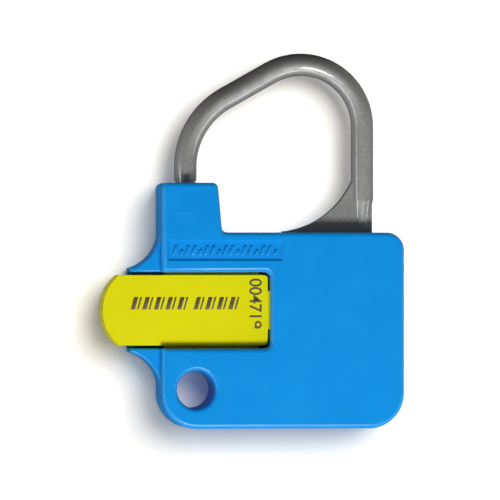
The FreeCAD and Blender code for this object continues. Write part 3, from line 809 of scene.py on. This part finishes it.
# ---------------------------------------------------------------- studio
@dataclass(frozen=True)
class SoftBox:
    """One rectangular lamp: where it stands as seen from the object, its size and its strength.

    The object's lamps show in reflections and the floor's don't.
    """

    name: str
    azimuth: float
    elevation: float
    distance: float
    size: tuple[float, float]
    power: float
    lit: Lit
    casts_shadow: bool = True
    only_reflected: bool = False

    def place(self) -> Vector:
        """Where the lamp stands: azimuth 0 is along +X and 90 along +Y."""
        turn, rise = math.radians(self.azimuth), math.radians(self.elevation)
        level = math.cos(rise) * self.distance
        return Vector((math.cos(turn) * level, math.sin(turn) * level, math.sin(rise) * self.distance))

    def build(self, floor: bpy.types.Object) -> None:
        """Adds the lamp.

        Args:
            floor: The floor, which the lamp lights alone or leaves out.
        """
        data = bpy.data.lights.new(self.name, "AREA")
        data.shape = "RECTANGLE"
        data.size, data.size_y = self.size
        data.energy = self.power
        data.use_shadow = self.casts_shadow
        lamp = bpy.data.objects.new(self.name, data)
        lamp.location = self.place()
        lamp.rotation_euler = (-self.place()).to_track_quat("-Z", "Y").to_euler()
        lamp.visible_glossy = self.lit is Lit.OBJECT
        lamp.visible_diffuse = not self.only_reflected
        bpy.context.scene.collection.objects.link(lamp)
        receivers = bpy.data.collections.new(f"{self.name}_receivers")
        receivers.objects.link(floor)
        receivers.collection_objects[0].light_linking.link_state = self.lit.value
        lamp.light_linking.receiver_collection = receivers


SOFT_BOXES = (
    SoftBox("raking_key", -90.0, 58.0, 0.80, (0.22, 0.18), 5.3, Lit.OBJECT),
    SoftBox("low_strip", -90.0, 27.0, 0.70, (0.90, 0.07), 1.6, Lit.OBJECT, only_reflected=True),
    SoftBox("heel_strip", -150.0, 27.0, 0.70, (0.80, 0.07), 2.4, Lit.OBJECT, only_reflected=True),
    SoftBox("toe_strip", -40.0, 27.0, 0.70, (0.80, 0.07), 2.4, Lit.OBJECT, only_reflected=True),
    SoftBox("ground_key", 40.0, 62.0, 0.80, (0.60, 0.60), 8.6, Lit.FLOOR),
    SoftBox("ground_fill", 0.0, 90.0, 1.20, (2.0, 2.0), 7.0, Lit.FLOOR, casts_shadow=False),
)


@dataclass
class Studio:
    """A pale floor, soft lights and the camera, which looks down on the padlock's front."""

    tilt: float = math.radians(7.6)
    view_width: float = 100.0 * MM
    view_centre: tuple[float, float] = (-0.2 * MM, -1.87 * MM)
    distance: float = 1.2
    sensor: float = 36.0
    clip_end: float = 20.0
    floor_gap: float = 0.05 * MM
    floor_half_width: float = 3.0
    floor_tones: tuple[Colour, Colour] = ((0.87, 0.845, 0.80), (0.89, 0.865, 0.82))
    floor_mottle: float = 40.0
    floor_roughness: float = 0.9

    def build(self) -> None:
        """Sets up the whole studio."""
        floor = self.floor()
        for box in SOFT_BOXES:
            box.build(floor)
        self.sky()
        self.camera()

    def floor(self) -> bpy.types.Object:
        """A wide pale floor, which clears the object's flat back so that the two don't coincide.

        Returns:
            The floor.
        """
        material, sheet, shader, coordinates = new_material("pale_floor")
        mottle = sheet.noise(coordinates, self.floor_mottle, detail=3.0)
        sheet.link(sheet.blend(mottle, *self.floor_tones), shader.inputs["Base Color"])
        shader.inputs["Roughness"].default_value = self.floor_roughness
        shader.inputs["Specular IOR Level"].default_value = 0.0
        shape = bmesh.new()
        below = Matrix.Translation((0.0, 0.0, -self.floor_gap))
        bmesh.ops.create_grid(shape, x_segments=1, y_segments=1, size=self.floor_half_width, matrix=below)
        floor = finish_mesh("floor", shape, material)
        floor.visible_glossy = False
        floor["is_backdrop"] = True
        return floor

    def sky(self) -> None:
        """Surroundings: bright at the sides, and dark beyond the crown, overhead and near the floor."""
        world = bpy.data.worlds.new("studio")
        bpy.context.scene.world = world
        world.use_nodes = True
        sheet = NodeSheet(world.node_tree)
        split = sheet.add("SeparateXYZ")
        sheet.link(sheet.add("TexCoord").outputs["Generated"], split.inputs[0])
        low_tone, middle_tone = (0.05, 0.06, 0.08), (0.30, 0.30, 0.30)
        beyond_tone, beside_tone, overhead_tone = (0.04, 0.04, 0.045), (0.46, 0.46, 0.46), (0.05, 0.05, 0.05)
        beyond = sheet.ramp(split.outputs["Y"], -0.05, 0.55)
        overhead = sheet.ramp(split.outputs["Z"], 0.75, 0.98)
        beside = sheet.ramp(sheet.math("ABSOLUTE", split.outputs["X"]), 0.35, 0.75)
        clear_of_base = sheet.ramp(split.outputs["Z"], 0.22, 0.42)
        colour = sheet.blend(clear_of_base, low_tone, middle_tone)
        colour = sheet.blend(beyond, colour, beyond_tone)
        colour = sheet.blend(beside, colour, beside_tone)
        colour = sheet.blend(overhead, colour, overhead_tone)
        background = sheet.add("Background", Strength=1.0)
        sheet.link(colour, background.inputs["Color"])
        sheet.link(background.outputs[0], sheet.add("OutputWorld").inputs[0])

    def camera(self) -> None:
        """A long lens square to the front, turned a little to the object's left side."""
        low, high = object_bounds()
        target = Vector((*self.view_centre, (low[2] + high[2]) / 2))
        data = bpy.data.cameras.new("camera")
        data.lens = self.sensor * self.distance / self.view_width
        data.sensor_width = self.sensor
        data.clip_end = self.clip_end
        camera = bpy.data.objects.new("camera", data)
        away = Vector((-math.sin(self.tilt), 0.0, math.cos(self.tilt)))
        camera.location = target + away * self.distance
        camera.rotation_euler = (0.0, -self.tilt, 0.0)
        bpy.context.scene.collection.objects.link(camera)
        bpy.context.scene.camera = camera
        bpy.context.scene.view_settings.view_transform = "Standard"


def main() -> None:
    """Builds the studio and every sub-assembly."""
    logging.basicConfig(level=logging.INFO, format="%(name)s %(message)s")
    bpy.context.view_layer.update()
    finishes = Finishes()
    Studio().build()
    for assembly in (Housing(finishes), Shackle(finishes), SealInsert(finishes), InnerWorks(finishes)):
        assembly.build()


if __name__ == "__main__":
    main()
